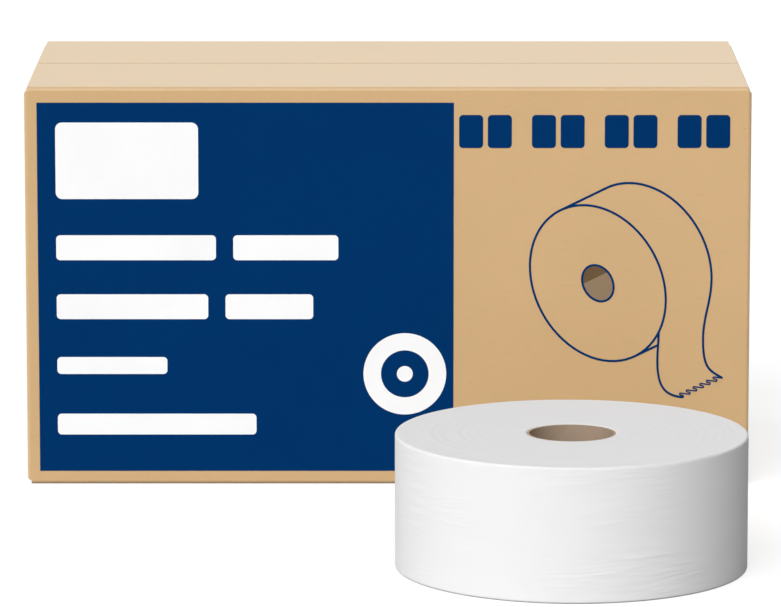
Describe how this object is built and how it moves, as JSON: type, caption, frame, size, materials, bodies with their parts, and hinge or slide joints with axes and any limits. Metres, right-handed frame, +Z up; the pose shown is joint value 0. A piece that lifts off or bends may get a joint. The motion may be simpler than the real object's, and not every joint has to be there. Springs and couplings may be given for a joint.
{
  "type": "carton of jumbo toilet rolls with one loose roll",
  "caption": "Sealed corrugated carton of jumbo toilet rolls with a printed front face, and a loose jumbo roll with an open card core standing in front.",
  "frame": {"origin": "on the floor, at the centre of the footprint of the carton and the loose roll together", "axes": "+Z up, +X to the right along the carton's printed face, -Y the way the printed face looks, towards the loose roll"},
  "size_m": [0.545, 0.68, 0.303],
  "materials": {
    "kraft_board": "matt kraft liner",
    "navy_ink": "flexographic ink on kraft liner",
    "white_ink": "flexographic ink on kraft liner",
    "brown_ink": "flexographic ink on kraft liner",
    "dark_brown_ink": "flexographic ink on kraft liner",
    "tissue": "soft white tissue",
    "core_card": "grey brown wound card"
  },
  "bodies": {
    "root": {"carton": "kraft_board", "print_field": "navy_ink", "print_name_plate": "white_ink", "print_heading_bars": "white_ink", "print_note_bars": "white_ink", "print_badge_disc": "white_ink", "print_badge_ring": "navy_ink", "print_code_blocks": "navy_ink", "print_figure_lines": "navy_ink", "print_figure_core_shade": "dark_brown_ink", "print_figure_core_wall": "brown_ink", "tissue_roll": "tissue", "roll_core": "core_card"}
  },
  "joints": []
}
